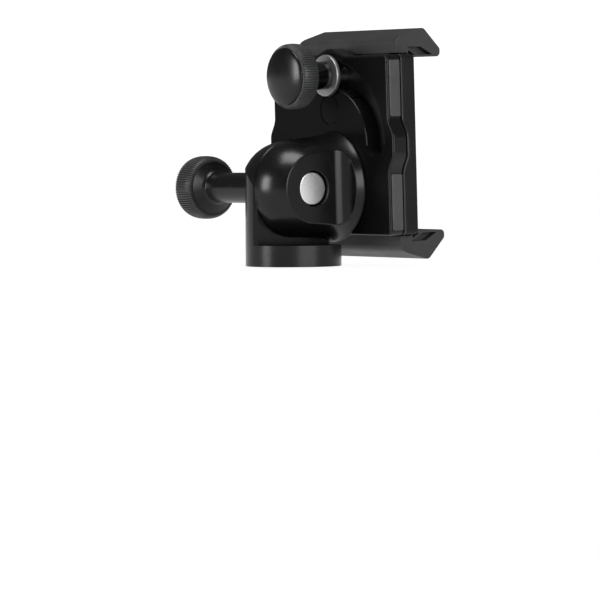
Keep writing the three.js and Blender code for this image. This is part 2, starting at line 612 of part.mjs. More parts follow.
const jawTurn = { upper: 0, lower: 180 };
for (const [name, degrees] of Object.entries(jawTurn)) {
  const at = (body) => placed(body.rotate([0, degrees, 0]).translate([0, 0, CLAMP_Z]));
  add(`${name}_jaw_arm`, at(jawArm()), steel);
  add(`${name}_jaw_pad`, at(jawPad()), rubber);
}
add("turn_pivot_screw", placed(pivotScrew()), steel);

// ---- lock: stud through the slot, washer, knob with shank, knurled rim and domed cap ----
const lockZ = CLAMP_Z + SLOT_R;
const washerY = PLATE_Y - GAP - LOCK_WASHER_T;
const shankY = washerY - 0.15;
const lockRimY = shankY - LOCK_SHANK_L;
const lockRimY0 = lockRimY - LOCK_KNOB_T;
const lockCoreR = 6.6;
const atLock = (body) => placed(body.translate([0, 0, lockZ]));
add("lock_stud",
  atLock(turn("y", [[lockRimY - 2, 0], [lockRimY - 2, STUD_R - 0.5], [lockRimY - 1.5, STUD_R],
    [FACE_Y - 1.5, STUD_R], [FACE_Y - 1.5, 0]], 32)), steel);
add("lock_washer",
  atLock(turn("y", [[washerY, STUD_R + RUN], [washerY, LOCK_WASHER_R - 0.3], [washerY + 0.3, LOCK_WASHER_R],
    [washerY + LOCK_WASHER_T, LOCK_WASHER_R], [washerY + LOCK_WASHER_T, STUD_R + RUN]], 48)), steel);
add("lock_knob_shank",
  atLock(turn("y", [[shankY, STUD_R + RUN], [shankY, LOCK_SHANK_R], [lockRimY + 0.15, LOCK_SHANK_R],
    [lockRimY + 0.15, LOCK_KNOB_R - 2], [lockRimY + 0.02, lockCoreR], [lockRimY0 + 2.6, lockCoreR],
    [lockRimY0 + 2.6, 0], [lockRimY - 2.4, 0], [lockRimY - 2.4, STUD_R + RUN]].reverse(), 48)), black);
add("lock_knob_rim", atLock(knurledRing(LOCK_KNOB_R, lockRimY0, lockRimY, lockCoreR + 0.1)), black);
add("lock_knob_cap",
  atLock(turn("y", [[lockRimY0 - 2.2, 0], [lockRimY0 - 2.0, 4.5], [lockRimY0 - 1.5, 7.6],
    [lockRimY0 - 0.8, 9.2], [lockRimY0 - 0.15, LOCK_KNOB_R - 1.05], [lockRimY0 - 0.15, lockCoreR - 0.3],
    [lockRimY0 + 2.4, lockCoreR - 0.3], [lockRimY0 + 2.4, 0]], 48)), black);

export default group;
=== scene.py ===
import math

import bmesh
import bpy
from mathutils import Matrix, Vector


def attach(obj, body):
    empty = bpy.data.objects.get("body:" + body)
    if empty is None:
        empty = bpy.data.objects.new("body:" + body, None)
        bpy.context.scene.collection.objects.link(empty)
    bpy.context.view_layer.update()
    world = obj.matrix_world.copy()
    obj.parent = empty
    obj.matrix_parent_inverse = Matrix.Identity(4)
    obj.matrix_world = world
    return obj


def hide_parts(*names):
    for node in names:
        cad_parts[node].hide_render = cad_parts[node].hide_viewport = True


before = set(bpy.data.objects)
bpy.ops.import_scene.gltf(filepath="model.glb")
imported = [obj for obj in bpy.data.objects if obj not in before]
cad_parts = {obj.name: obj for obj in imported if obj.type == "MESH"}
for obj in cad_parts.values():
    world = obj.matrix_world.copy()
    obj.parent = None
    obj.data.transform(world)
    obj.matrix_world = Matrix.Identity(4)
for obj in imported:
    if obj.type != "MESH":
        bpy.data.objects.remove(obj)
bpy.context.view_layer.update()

# ---- Studio ----
# A long lens stands a little above the base's level and looks at the clamp's back and its right side.
# The floor is pale and glows of itself, and the soft boxes leave it out. One of them lights the right side,
# one the hub's dome, and one the jaws from above.
MM = 0.001
CAMERA_AZIMUTH = math.radians(52.43)
CAMERA_HEIGHT = math.radians(2.52)
CAMERA_ROLL = math.radians(-0.365)
CAMERA_DISTANCE = 1.1715
LENS = 217.3
right = Vector((math.cos(CAMERA_AZIMUTH), math.sin(CAMERA_AZIMUTH), 0))
back = Vector((math.sin(CAMERA_AZIMUTH) * math.cos(CAMERA_HEIGHT),
               -math.cos(CAMERA_AZIMUTH) * math.cos(CAMERA_HEIGHT), math.sin(CAMERA_HEIGHT)))
up = back.cross(right)
look_at = right * 0.00198 + Vector((0, 0, -0.01111))
bpy.ops.object.select_all(action="DESELECT")
bpy.ops.object.camera_add()
camera = bpy.context.object
camera.data.lens = LENS
camera.data.sensor_width = 36
tilted_right = right * math.cos(CAMERA_ROLL) + up * math.sin(CAMERA_ROLL)
tilted_up = up * math.cos(CAMERA_ROLL) - right * math.sin(CAMERA_ROLL)
turned_camera = Matrix((tilted_right, tilted_up, back)).transposed().to_4x4()
camera.matrix_world = Matrix.Translation(look_at + back * CAMERA_DISTANCE) @ turned_camera
bpy.context.scene.camera = camera
bpy.context.scene.view_settings.view_transform = "Standard"

ROOM_LIGHT = 0.10
BACKDROP_LIGHT = 1.1
FLOOR_GLOW = 0.93
world = bpy.data.worlds.new("studio_air")
bpy.context.scene.world = world
world.use_nodes = True
air = world.node_tree
air.nodes["Background"].inputs["Color"].default_value = (1, 1, 1, 1)
air.nodes["Background"].inputs["Strength"].default_value = ROOM_LIGHT
backdrop = air.nodes.new("ShaderNodeBackground")
backdrop.inputs["Color"].default_value = (1, 1, 1, 1)
backdrop.inputs["Strength"].default_value = BACKDROP_LIGHT
seen = air.nodes.new("ShaderNodeLightPath")
either = air.nodes.new("ShaderNodeMixShader")
air.links.new(seen.outputs["Is Camera Ray"], either.inputs[0])
air.links.new(air.nodes["Background"].outputs[0], either.inputs[1])
air.links.new(backdrop.outputs[0], either.inputs[2])
air.links.new(either.outputs[0], air.nodes["World Output"].inputs["Surface"])

bpy.ops.object.select_all(action="DESELECT")
bpy.ops.mesh.primitive_plane_add(size=12, location=(0, 0, -0.0004))
floor = bpy.context.object
floor.name = "floor"
pale = bpy.data.materials.new("pale_floor")
pale.use_nodes = True
pale_shader = pale.node_tree.nodes["Principled BSDF"]
pale_shader.inputs["Base Color"].default_value = (0.9, 0.9, 0.9, 1)
pale_shader.inputs["Roughness"].default_value = 0.9
pale_shader.inputs["Specular IOR Level"].default_value = 0.0
pale_shader.inputs["Emission Color"].default_value = (1, 1, 1, 1)
pale_shader.inputs["Emission Strength"].default_value = FLOOR_GLOW
floor.data.materials.append(pale)
unlit = bpy.data.collections.new("unlit_floor")
unlit.objects.link(floor)
unlit.collection_objects[0].light_linking.link_state = "EXCLUDE"

SOFT_BOXES = {
    # name: (azimuth, height of its direction, distance, width, height, watts)
    "side_box": (85, 10, 0.8, 0.66, 0.5, 6.0),
    "dome_box": (-15, 8, 0.8, 0.26, 0.4, 4.2),
    "top_box": (40, 76, 0.8, 0.5, 0.4, 6.0),
}
middle = Vector((0, 0.012, 0.035))
for name, (azimuth, height, distance, wide, high, watts) in SOFT_BOXES.items():
    a, e = math.radians(azimuth), math.radians(height)
    towards = Vector((math.sin(a) * math.cos(e), -math.cos(a) * math.cos(e), math.sin(e)))
    bpy.ops.object.light_add(type="AREA", location=middle + towards * distance)
    lamp = bpy.context.object
    lamp.name = name
    lamp.data.shape = "RECTANGLE"
    lamp.data.size, lamp.data.size_y, lamp.data.energy = wide, high, watts
    lamp.rotation_euler = towards.to_track_quat("Z", "Y").to_euler()
    lamp.light_linking.receiver_collection = unlit

# ---- Base bracket ----
# One piece of aluminium, turned to a round bar, milled away to a half-round upright on a round base,
# rounded over the tilt axis, chamfered round its inner face and anodised satin black.
BASE_R = 15.5 * MM
BASE_T = 6.8 * MM
TILT_Z = 25 * MM
GAP = 0.3 * MM
RUN = 0.08 * MM
BOLT_R = 3 * MM
TOP_POWER = 2.7
TOP_STEPS = 36
UPRIGHT_STEPS = 97
CHAMFER = 1.17 * MM
INSERT_HOLE_R = 5.35 * MM
X_AXIS, Y_AXIS, Z_AXIS = Vector((1, 0, 0)), Vector((0, 1, 0)), Vector((0, 0, 1))
TILT = Vector((0, 0, TILT_Z))
ORIGIN = Vector((0, 0, 0))


def let_go():
    if bpy.context.object and bpy.context.object.mode != "OBJECT":
        bpy.ops.object.mode_set(mode="OBJECT")
    bpy.ops.object.select_all(action="DESELECT")


def hold(obj):
    let_go()
    obj.select_set(True)
    bpy.context.view_layer.objects.active = obj


def settle(name):
    obj = bpy.context.object
    obj.name = name
    bpy.ops.object.transform_apply(location=True, rotation=True, scale=True)
    return obj


def pick(obj, kind, rule):
    hold(obj)
    bpy.ops.object.mode_set(mode="EDIT")
    bpy.ops.mesh.select_mode(type=kind)
    bpy.ops.mesh.select_all(action="DESELECT")
    mesh = bmesh.from_edit_mesh(obj.data)
    for part in {"VERT": mesh.verts, "EDGE": mesh.edges, "FACE": mesh.faces}[kind]:
        if rule(part):
            part.select_set(True)
    mesh.select_flush_mode()
    bmesh.update_edit_mesh(obj.data)


def mid(edge):
    return (edge.verts[0].co + edge.verts[1].co) / 2


def bevel(obj, rule, width, segments=3):
    """Round off the edges that a rule picks."""
    pick(obj, "EDGE", rule)
    bpy.ops.mesh.bevel(offset=width, segments=segments)
    bpy.ops.object.mode_set(mode="OBJECT")
    return obj


def box(name, low, high):
    let_go()
    low, high = Vector(low), Vector(high)
    bpy.ops.mesh.primitive_cube_add(size=1, location=(low + high) / 2, scale=high - low)
    return settle(name)


def rod(name, axis, start, end, radius, centre=ORIGIN, steps=96):
    let_go()
    facing = axis.to_track_quat("Z", "Y").to_euler()
    place = Vector(centre) + axis * (start + end) / 2
    bpy.ops.mesh.primitive_cylinder_add(vertices=steps, radius=radius, depth=end - start,
                                        location=place, rotation=facing)
    return settle(name)


def combine(obj, tool, way):
    hold(obj)
    step = obj.modifiers.new("cut", "BOOLEAN")
    step.operation, step.object, step.solver = way, tool, "EXACT"
    bpy.ops.object.modifier_apply(modifier=step.name)
    bpy.data.objects.remove(tool)
    return obj


def cut(obj, tool):
    return combine(obj, tool, "DIFFERENCE")


def tidy(obj):
    hold(obj)
    bpy.ops.object.mode_set(mode="EDIT")
    bpy.ops.mesh.select_all(action="SELECT")
    bpy.ops.mesh.remove_doubles(threshold=0.002 * MM)
    bpy.ops.mesh.normals_make_consistent(inside=False)
    bpy.ops.object.mode_set(mode="OBJECT")
    return obj


def soften(obj, width, segments=2, angle=35):
    hold(obj)
    step = obj.modifiers.new("soften", "BEVEL")
    step.width, step.segments, step.limit_method = width, segments, "ANGLE"
    step.angle_limit, step.miter_outer = math.radians(angle), "MITER_ARC"
    bpy.ops.object.modifier_apply(modifier=step.name)
    return obj


def smooth(obj, angle=32):
    hold(obj)
    bpy.ops.object.shade_smooth_by_angle(angle=math.radians(angle))
    even = obj.modifiers.new("even", "WEIGHTED_NORMAL")
    even.keep_sharp = True
    bpy.ops.object.modifier_apply(modifier=even.name)
    return obj


def line(name, points):
    let_go()
    points = [Vector(p) for p in points]
    bpy.ops.mesh.primitive_plane_add(size=MM, location=points[0])
    obj = settle(name)
    bpy.ops.object.mode_set(mode="EDIT")
    bpy.ops.mesh.select_mode(type="VERT")
    bpy.ops.mesh.select_all(action="SELECT")
    bpy.ops.mesh.merge(type="CENTER")
    for first, second in zip(points, points[1:]):
        bpy.ops.mesh.extrude_vertices_move(TRANSFORM_OT_translate={"value": second - first})
    return obj


def bar(name, points, along):
    """A closed outline filled and drawn out into a bar."""
    obj = line(name, points)
    pick(obj, "VERT", lambda v: len(v.link_edges) == 1)
    bpy.ops.mesh.edge_face_add()
    bpy.ops.mesh.select_all(action="SELECT")
    bpy.ops.mesh.edge_face_add()
    bpy.ops.mesh.extrude_region_move(TRANSFORM_OT_translate={"value": along})
    bpy.ops.object.mode_set(mode="OBJECT")
    return tidy(obj)


def turned(name, axis, profile, centre=ORIGIN, steps=96):
    """A profile of (place along the axis, radius) spun round the axis."""
    radial = Z_AXIS if axis != Z_AXIS else X_AXIS
    obj = line(name, [Vector(centre) + axis * along + radial * r for along, r in profile])
    bpy.ops.mesh.select_all(action="SELECT")
    bpy.ops.mesh.spin(steps=steps, angle=2 * math.pi, center=centre, axis=axis)
    bpy.ops.object.mode_set(mode="OBJECT")
    return tidy(obj)


def hand_over(obj, material, slot, body, *nodes):
    obj.data.materials.clear()
    obj.data.materials.append(material)
    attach(obj, body)
    if nodes:
        obj.name = f"{nodes[0]}_finished"
        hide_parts(*nodes)


class Socket:
    """An output of a shader node that can be used in sums."""

    def __init__(self, paint, out):
        self.paint, self.out = paint, out

    def worked(self, how, *others):
        return self.paint.node("ShaderNodeMath", {"operation": how}, dict(enumerate((self, *others))))

    def __add__(self, other):
        return self.worked("ADD", other)

    def __mul__(self, other):
        return self.worked("MULTIPLY", other)

    def sine(self):
        return self.worked("SINE")

    def within(self, low, high, to_low=0.0, to_high=1.0):
        return self.paint.node("ShaderNodeMapRange", {"interpolation_type": "SMOOTHSTEP"},
                               {"Value": self, "From Min": low, "From Max": high,
                                "To Min": to_low, "To Max": to_high})


class Paint:
    """A material, built up from one shader."""

    def __init__(self, name, **fixed):
        self.material = bpy.data.materials.new(name)
        self.material.use_nodes = True
        self.tree = self.material.node_tree
        self.shader = self.tree.nodes["Principled BSDF"]
        for key, value in fixed.items():
            self.shader.inputs[key.replace("_", " ")].default_value = value

    def node(self, kind, settings, values, out=0):
        node = self.tree.nodes.new(kind)
        for key, value in settings.items():
            setattr(node, key, value)
        for key, value in values.items():
            if isinstance(value, Socket):
                self.tree.links.new(value.out, node.inputs[key])
            else:
                node.inputs[key].default_value = value
        return Socket(self, node.outputs[out])

    def place(self):
        return self.node("ShaderNodeTexCoord", {}, {}, "Object")

    def noise(self, per_mm, detail):
        values = {"Vector": self.place(), "Scale": per_mm / MM, "Detail": detail, "Roughness": 0.55}
        return self.node("ShaderNodeTexNoise", {}, values)

    def cells(self, per_mm):
        return self.node("ShaderNodeTexVoronoi", {"feature": "F1"},
                         {"Vector": self.place(), "Scale": per_mm / MM})

    def blend(self, factor, first, second):
        return self.node("ShaderNodeMix", {"data_type": "RGBA"}, {0: factor, 6: first, 7: second}, 2)

    def feed(self, name, socket):
        self.tree.links.new(socket.out, self.shader.inputs[name])

    def bump(self, height, depth, strength=1.0):
        self.feed("Normal", self.node("ShaderNodeBump", {}, {"Height": height, "Distance": depth,
                                                             "Strength": strength}))


def grey(level, warm=1.0):
    """A grey that leans to red above one and to blue below it."""
    return (level * warm, level, level / warm, 1)


def anodised(name, level, metallic, rough, gloss=0.3):
    """A dyed, faintly blotched and finely blasted metal surface."""
    paint = Paint(name, Metallic=metallic, Specular_IOR_Level=gloss)
    blotch = paint.noise(0.12, 4)
    fine = paint.noise(14, 2)
    darker, lighter = grey(level * 0.85, 0.98), grey(level * 1.15, 0.98)
    paint.feed("Base Color", paint.blend(blotch.within(0.3, 0.7), darker, lighter))
    paint.feed("Roughness", blotch.within(0.2, 0.8, rough - 0.04, rough + 0.04) + fine * 0.06)
    paint.bump(fine, 0.004 * MM, 0.6)
    return paint.material


satin_black = anodised("satin_black_anodised", 0.004, 0.0, 0.23, 0.28)

bracket = rod("bracket", Z_AXIS, 0, TILT_Z + BASE_R, BASE_R, steps=192)
top_profile = [(-BASE_R, 0)]
for i in range(1, TOP_STEPS + 1):
    angle = i / TOP_STEPS * math.pi / 2
    across = -BASE_R * math.cos(angle) ** (2 / TOP_POWER)
    top_profile.append((across, BASE_R * math.sin(angle) ** (2 / TOP_POWER)))
top_profile += [(BASE_R + MM, BASE_R), (BASE_R + MM, 0)]
crown = turned("upright_top", X_AXIS, top_profile, TILT, 192)
above = box("above", (-BASE_R - MM, -BASE_R - MM, TILT_Z),
            (BASE_R + 2 * MM, BASE_R + MM, TILT_Z + 2 * BASE_R))
cut(above, crown)
cut(bracket, above)
cut(bracket, box("milled_away", (0, -BASE_R - MM, BASE_T), (BASE_R + MM, BASE_R + MM, TILT_Z + BASE_R + MM)))
kept_r = BASE_R + 0.07 * MM
upright_outline = [(kept_r, BASE_T - 2 * MM)]
for i in range(UPRIGHT_STEPS + 1):
    angle = i / UPRIGHT_STEPS * math.pi
    upright_outline.append((kept_r * math.cos(angle), TILT_Z + kept_r * math.sin(angle)))
upright_outline.append((-kept_r, BASE_T - 2 * MM))
kept = bar("kept", [(-5 * MM, y, z) for y, z in upright_outline], (5 * MM, 0, 0))
bevel(kept, lambda e: all(abs(v.co.x) < 0.01 * MM for v in e.verts) and mid(e).z > BASE_T - 1.9 * MM,
      CHAMFER, 1)
edge_cut = box("edge_cut", (-CHAMFER - 0.03 * MM, -BASE_R - MM, BASE_T),
               (MM, BASE_R + MM, TILT_Z + BASE_R + MM))
cut(edge_cut, kept)
cut(bracket, edge_cut)
tidy(bracket)
soften(bracket, 0.2 * MM, 2, 28)
cut(bracket, rod("bolt_hole", X_AXIS, -BASE_R - MM, MM, BOLT_R + RUN, TILT, 64))
cut(bracket, rod("insert_hole", Z_AXIS, -MM, BASE_T - 1.2 * MM, INSERT_HOLE_R, steps=64))
smooth(bracket, 20)
hand_over(bracket, satin_black, "black_metal", "base", "base_bracket")

# ---- Tripod thread insert ----
# A steel bush with a quarter-inch thread, pressed into the base from below.
# Its thread is cut as a row of rings, since only the mouth is ever seen.
INSERT_R = 5.2 * MM
THREAD_R = 3.1 * MM
THREAD_STEP = 1.27 * MM


def brushed_rings(name, level, axis, centre, rough=0.24, per_mm=3.2, depth=0.01):
    """Turned metal, with the tool's fine rings round an axis."""
    paint = Paint(name, Metallic=1.0)
    spot = paint.node("ShaderNodeMapping", {}, {"Vector": paint.place(), "Location": tuple(-Vector(centre))})
    flat = paint.node("ShaderNodeVectorMath", {"operation": "MULTIPLY"},
                      {0: spot, 1: tuple(1.0 - abs(part) for part in axis)})
    radius = paint.node("ShaderNodeVectorMath", {"operation": "LENGTH"}, {0: flat}, "Value")
    rings = (radius * (per_mm * 2 * math.pi / MM)).sine()
    grain = paint.noise(2.5, 3)
    paint.feed("Base Color", paint.blend(grain.within(0.3, 0.7), grey(level * 0.9), grey(level)))
    paint.feed("Roughness", grain.within(0.2, 0.8, rough - 0.05, rough + 0.06))
    paint.bump(rings + grain, depth * MM, 0.5)
    return paint.material


turned_steel = brushed_rings("turned_steel", 0.62, Z_AXIS, ORIGIN)
insert_top = BASE_T - 1.5 * MM
thread = [(0.9 * MM, THREAD_R)]
while thread[-1][0] + THREAD_STEP < insert_top - 0.3 * MM:
    start = thread[-1][0]
    thread += [(start + THREAD_STEP / 2, THREAD_R + 0.45 * MM), (start + THREAD_STEP, THREAD_R)]
insert = turned("thread_insert", Z_AXIS, [
    (0.2 * MM, THREAD_R + 0.7 * MM), (0.2 * MM, INSERT_R - 0.3 * MM), (0.5 * MM, INSERT_R),
    (insert_top, INSERT_R), (insert_top, THREAD_R), *reversed(thread),
    (0.2 * MM, THREAD_R + 0.7 * MM)], steps=64)
smooth(insert)
hand_over(insert, turned_steel, "steel_turned", "base", "tripod_thread_insert")

# ---- Tilt bolt ----
# A steel bolt with a plain polished head, sunk in the hub's milled face; its shank runs
# through the hub and the upright into the knob's stem.
HUB_FLAT_X = 11.3 * MM
BOLT_HEAD_R = 5.3 * MM
BOLT_HEAD_T = 4 * MM
HEAD_CLEAR = 0.45 * MM
STEM_END = 41.5 * MM
head_face = HUB_FLAT_X - 1.1 * MM
bolt_nickel = brushed_rings("bolt_nickel", 0.74, X_AXIS, TILT, 0.32, 4.0, 0.004)
bolt = turned("bolt", X_AXIS, [
    (-STEM_END + 14 * MM, 0), (-STEM_END + 14 * MM, BOLT_R - 0.5 * MM), (-STEM_END + 14.5 * MM, BOLT_R),
    (head_face - BOLT_HEAD_T, BOLT_R), (head_face - BOLT_HEAD_T, BOLT_HEAD_R - 0.2 * MM),
    (head_face - BOLT_HEAD_T + 0.2 * MM, BOLT_HEAD_R), (head_face - 0.45 * MM, BOLT_HEAD_R),
    (head_face - 0.18 * MM, BOLT_HEAD_R - 0.12 * MM), (head_face, BOLT_HEAD_R - 0.42 * MM), (head_face, 0)],
    TILT, 128)
smooth(bolt)
hand_over(bolt, bolt_nickel, "steel_turned", "base", "tilt_bolt")

# ---- Tilt knob ----
# A long turned stem that flares to a cone, with a knurled aluminium rim pressed over it
# and a shallow cap closing the end; a thin washer takes the thrust against the upright.
STEM_R = 5 * MM
TILT_KNOB_R = 10.5 * MM
TILT_KNOB_T = 8 * MM
KNOB_TEETH = 80
TOOTH = 0.5 * MM
PER_TOOTH = 4
washer_x = -BASE_R - GAP
stem_top = washer_x - 0.95 * MM
rim_x = -STEM_END - 2.4 * MM
HUB_IN_RIM = 6.2 * MM


def knurled(name, axis, start, end, radius, bore, centre):
    """A rim with a crowned outside and teeth along its axis."""
    wide = end - start
    crown = [(0.0, -1.15), (0.02, -0.8), (0.07, -0.45), (0.16, -0.2), (0.3, -0.05), (0.5, 0.0), (0.7, -0.05),
             (0.84, -0.2), (0.93, -0.45), (0.98, -0.8), (1.0, -1.15)]
    profile = [(start, bore)] + [(start + part * wide, radius + drop * MM) for part, drop in crown]
    profile += [(end, bore), (start, bore)]
    rim = turned(name, axis, profile, centre, KNOB_TEETH * PER_TOOTH)
    sides = [a for a in (X_AXIS, Y_AXIS, Z_AXIS) if a != axis]
    step = 2 * math.pi / (KNOB_TEETH * PER_TOOTH)

    def in_groove(vert):
        spot = vert.co - Vector(centre)
        if (spot - axis * spot.dot(axis)).length < radius - 0.9 * MM:
            return False
        turn = math.atan2(spot.dot(sides[1]), spot.dot(sides[0]))
        return round(turn / step) % PER_TOOTH in (2, 3)

    pick(rim, "VERT", in_groove)
    narrow = 1 - TOOTH / radius
    bpy.ops.transform.resize(value=[1 if part else narrow for part in axis], center_override=centre)
    bpy.ops.object.mode_set(mode="OBJECT")
    return smooth(rim, 24)


stem = turned("tilt_stem", X_AXIS, [
    (-STEM_END + 13 * MM, 0), (-STEM_END + 13 * MM, BOLT_R + RUN), (stem_top, BOLT_R + RUN),
    (stem_top, STEM_R - 0.35 * MM), (stem_top - 0.35 * MM, STEM_R), (-STEM_END + 0.8 * MM, STEM_R),
    (-STEM_END + 0.2 * MM, STEM_R + 0.3 * MM), (-STEM_END - 0.4 * MM, STEM_R + 1.1 * MM),
    (-STEM_END - 1.7 * MM, TILT_KNOB_R - 2.1 * MM), (rim_x + 0.6 * MM, TILT_KNOB_R - 1.9 * MM),
    (rim_x + 0.25 * MM, TILT_KNOB_R - 2.0 * MM), (rim_x + 0.2 * MM, HUB_IN_RIM),
    (rim_x - TILT_KNOB_T + 3 * MM, HUB_IN_RIM), (rim_x - TILT_KNOB_T + 3 * MM, 0)], TILT, 128)
smooth(stem, 40)
hand_over(stem, satin_black, "black_metal", "tilt_knob", "tilt_knob_stem")
rim = knurled("tilt_rim", X_AXIS, rim_x - TILT_KNOB_T, rim_x, TILT_KNOB_R, HUB_IN_RIM + 0.1 * MM, TILT)
# The rims get a black painted lighter than the rest of the anodising. This is a painted highlight standing in
# for light caught on the knurl teeth; only the roughness and gloss differ for real.
knurl_highlight_black = anodised("knurl_anodised_painted_highlight", 0.03, 0.0, 0.4, 0.55)
hand_over(rim, knurl_highlight_black, "black_metal", "tilt_knob", "tilt_knob_rim")
cap_x = rim_x - TILT_KNOB_T
cap = turned("tilt_cap", X_AXIS, [
    (cap_x - 0.9 * MM, 0), (cap_x - 0.85 * MM, 2 * MM), (cap_x - 0.6 * MM, 4 * MM),
    (cap_x - 0.3 * MM, 5.2 * MM), (cap_x + 0.1 * MM, HUB_IN_RIM - 0.35 * MM),
    (cap_x + 2.6 * MM, HUB_IN_RIM - 0.3 * MM), (cap_x + 2.6 * MM, 0)], TILT, 96)
smooth(cap, 40)
hand_over(cap, satin_black, "black_metal", "tilt_knob", "tilt_knob_cap")
thrust = turned("thrust_washer", X_AXIS, [
    (washer_x - 0.8 * MM, BOLT_R + RUN), (washer_x - 0.8 * MM, STEM_R - 0.35 * MM),
    (washer_x - 0.65 * MM, STEM_R - 0.2 * MM), (washer_x - 0.15 * MM, STEM_R - 0.2 * MM),
    (washer_x, STEM_R - 0.35 * MM), (washer_x, BOLT_R + RUN), (washer_x - 0.8 * MM, BOLT_R + RUN)], TILT, 64)
smooth(thrust)
thrust_steel = brushed_rings("thrust_steel", 0.5, X_AXIS, TILT)
hand_over(thrust, thrust_steel, "steel_turned", "tilt_washer", "tilt_thrust_washer")

# ---- Hub ----
# A domed body turned from bar with a flange that meets the back plate, then milled: flat against the
# upright, and flat round the bolt with a concave run-out. It leans back a little with the clamp.
LEAN = math.radians(1.5)
HUB_R = 15.9 * MM
FLANGE_R = 18.05 * MM
PLATE_Y = 15.8 * MM
SCOOP_R = 4.5 * MM
SCOOP_Y = 8 * MM
DOME_STEPS = 24
SCOOP_STEPS = 16
BEYOND = 30 * MM
# millimetres in front of the tilt axis, and how far the hub has flared out there beyond its radius
FLARE = ((3, 0.16), (6, 0.4), (8.5, 0.62), (10.5, 0.84), (12, 1.08), (13.2, 1.38), (14.2, 1.75), (14.9, 2.08))


def lean(obj):
    """From the clamp's own upright frame, about the tilt axis, to its place on the object."""
    hold(obj)
    obj.matrix_world = Matrix.Translation(TILT) @ Matrix.Rotation(LEAN, 4, "X")
    bpy.ops.object.transform_apply(location=True, rotation=True, scale=True)
    return obj


hub_profile = [(-HUB_R, 0)]
for i in range(1, DOME_STEPS + 1):
    angle = i / DOME_STEPS * math.pi / 2
    hub_profile.append((-HUB_R * math.cos(angle), HUB_R * math.sin(angle)))
flange_y = PLATE_Y - 0.05 * MM
hub_profile += [(y * MM, HUB_R + flare * MM) for y, flare in FLARE]
hub_profile += [(flange_y - 0.6 * MM, FLANGE_R - 0.16 * MM), (flange_y - 0.45 * MM, FLANGE_R - 0.02 * MM),
                (flange_y - 0.3 * MM, FLANGE_R), (flange_y - 0.1 * MM, FLANGE_R - 0.06 * MM),
                (flange_y, FLANGE_R - 0.2 * MM), (flange_y, 0)]
hub = turned("hub", Y_AXIS, hub_profile, steps=192)
cut(hub, box("flat_side", (-BEYOND, -BEYOND, -BEYOND), (GAP, BEYOND, BEYOND)))
bevel(hub, lambda e: all(abs(v.co.x - GAP) < 0.01 * MM for v in e.verts)
      and mid(e).y < PLATE_Y - 0.3 * MM and e.calc_face_angle(0) > math.radians(40), 0.55 * MM)
scoop = [(HUB_FLAT_X, -BEYOND), (BEYOND, -BEYOND), (BEYOND, SCOOP_Y + SCOOP_R)]
for i in range(SCOOP_STEPS + 1):
    angle = math.pi / 2 * (1 + i / SCOOP_STEPS)
    scoop.append((HUB_FLAT_X + SCOOP_R + SCOOP_R * math.cos(angle), SCOOP_Y + SCOOP_R * math.sin(angle)))
cut(hub, bar("scoop", [(x, y, -BEYOND) for x, y in scoop], (0, 0, 2 * BEYOND)))
tidy(hub)
bevel(hub, lambda e: e.is_manifold and e.calc_face_angle(0) > math.radians(16)
      and mid(e).x > HUB_FLAT_X - 0.02 * MM and mid(e).y < SCOOP_Y + SCOOP_R + 0.1 * MM
      and Vector((mid(e).x, mid(e).z)).length > 10 * MM, 0.26 * MM)
cut(hub, rod("shank_hole", X_AXIS, -MM, HUB_FLAT_X + MM, BOLT_R + RUN, steps=64))
cut(hub, rod("head_hole", X_AXIS, head_face - BOLT_HEAD_T - GAP, HUB_FLAT_X + MM,
             BOLT_HEAD_R + HEAD_CLEAR, steps=128))
bevel(hub, lambda e: all(abs(v.co.x - HUB_FLAT_X) < 0.01 * MM
                         and abs(v.co.yz.length - BOLT_HEAD_R - HEAD_CLEAR) < 0.02 * MM for v in e.verts),
      0.2 * MM, 2)
cut(hub, rod("washer_seat", X_AXIS, -MM, GAP + 0.8 * MM, 11.3 * MM))
smooth(hub, 26)
lean(hub)
hand_over(hub, satin_black, "black_metal", "hub", "tilt_hub")

# ---- Back plate ----
# A milled aluminium plate screwed to the hub, with a quarter-circle slot for the lock stud. Its sides
# swell out half way up and its top edge rises in a hump round the lock knob. Its back face is matt black
# and its edges satin; a flush plug sits between the hub and the knob.
CLAMP_H = 57.9 * MM
CLAMP_W = 60 * MM
CLAMP_Z = 13.3 * MM
PLATE_T = 5.2 * MM
PLATE_FRONT = PLATE_Y + PLATE_T
BULGE = 2.5 * MM
BULGE_FLAT = 2.5 * MM
BULGE_END = 9 * MM
SLOT_R = 22.75 * MM
SLOT_W = 8 * MM
CORNER_R = 1.6 * MM
HUMP_R = 8.7 * MM
HUMP_HALF_W = 9 * MM
PIVOT_R = 5 * MM
PIVOT_FLANGE_R = 8.5 * MM
PIVOT_TOOL_R = 2.9 * MM
PIVOT_SCREW_R = 1.7 * MM
PLUG_R = 4.78 * MM
PLUG_HOLE_R = 4.92 * MM
HUB_SCREWS = ((6 * MM, -10.5 * MM), (9.3 * MM, 0))
HUB_SCREW_R = 1.65 * MM
HUB_SCREW_HEAD_R = 3 * MM
CENTRE = Vector((0, 0, CLAMP_Z))
LOCK = Vector((0, 0, CLAMP_Z + SLOT_R))
PLUG = Vector((0, 0, CLAMP_Z + SLOT_R / 2 + 0.3 * MM))


def swell(height):
    """How far the side stands out at a height from the clamp's centre."""
    part = min(1, max(0, (abs(height) - BULGE_FLAT) / (BULGE_END - BULGE_FLAT)))
    return BULGE * (1 - part * part * (3 - 2 * part))


